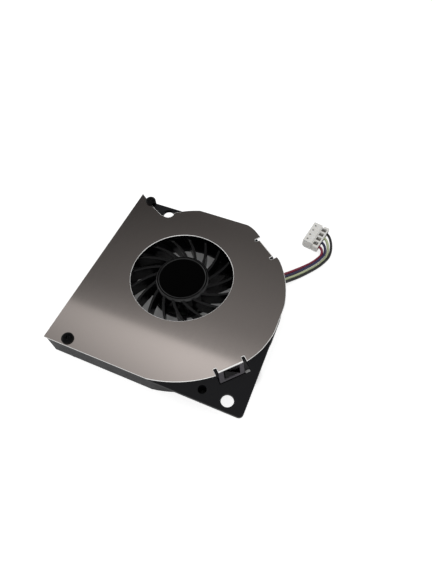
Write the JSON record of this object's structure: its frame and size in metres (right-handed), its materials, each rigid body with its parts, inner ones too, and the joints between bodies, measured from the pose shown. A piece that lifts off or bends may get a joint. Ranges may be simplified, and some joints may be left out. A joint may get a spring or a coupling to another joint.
{
  "type": "dc blower fan",
  "caption": "Slim square centrifugal blower with a sheet-metal cover, round top intake, side outlet, two mounting ears and a short wired lead with a plug housing.",
  "frame": {"origin": "rotor axis on the flat underside of the housing", "axes": "+Z along the rotor axis towards the sheet cover, -X out of the air outlet, -Y towards the straight front wall"},
  "size_m": [0.0622, 0.0686, 0.0094],
  "materials": {
    "housing_plastic": "fine moulded matt black",
    "cover_steel": "brushed stainless sheet",
    "black_screw": "black zinc plated",
    "impeller_plastic": "satin moulded black",
    "yoke_steel": "drawn plated steel",
    "magnet": "plastic-bonded ferrite",
    "shaft_steel": "ground hardened steel",
    "washer_plastic": "natural polymer",
    "tube_brass": "turned brass",
    "sintered_bronze": "oil-filled sintered bronze",
    "lamination_steel": "punched silicon steel",
    "insulator_plastic": "natural moulded plastic",
    "enamelled_copper": "enamelled copper wire",
    "tinned_metal": "tinned",
    "board_laminate": "green solder mask on glass epoxy",
    "chip_epoxy": "moulded epoxy",
    "chip_ceramic": "fired ceramic",
    "red_insulation": "smooth extruded insulation",
    "blue_insulation": "smooth extruded insulation",
    "yellow_insulation": "smooth extruded insulation",
    "black_insulation": "smooth extruded insulation",
    "connector_nylon": "natural white moulded nylon"
  },
  "bodies": {
    "housing": {"base_housing": "housing_plastic", "front_ear": "housing_plastic", "guide_lug": "housing_plastic", "back_ear": "housing_plastic", "top_cover": "cover_steel", "cover_screws": "black_screw", "bearing_tube": "tube_brass", "bearing_sleeve": "sintered_bronze", "thrust_plate": "washer_plastic", "stator_core": "lamination_steel", "upper_insulator": "insulator_plastic", "lower_insulator": "insulator_plastic", "coil_windings": "enamelled_copper", "winding_pins": "tinned_metal", "driver_board": "board_laminate", "driver_chip": "chip_epoxy", "hall_sensor": "chip_epoxy", "chip_components": "chip_ceramic", "solder_joints": "tinned_metal", "wire_red": "red_insulation", "wire_blue": "blue_insulation", "wire_yellow": "yellow_insulation", "wire_black": "black_insulation", "connector_housing": "connector_nylon", "crimp_contacts": "tinned_metal"},
    "rotor": {"impeller": "impeller_plastic", "rotor_yoke": "yoke_steel", "ring_magnet": "magnet", "shaft": "shaft_steel", "oil_slinger": "washer_plastic", "retaining_ring": "shaft_steel"}
  },
  "joints": [
    {"name": "rotor_spin", "type": "hinge", "parent": "housing", "child": "rotor", "pos_m": [0, 0, 0.004], "axis": [0, 0, -1], "continuous": true}
  ]
}
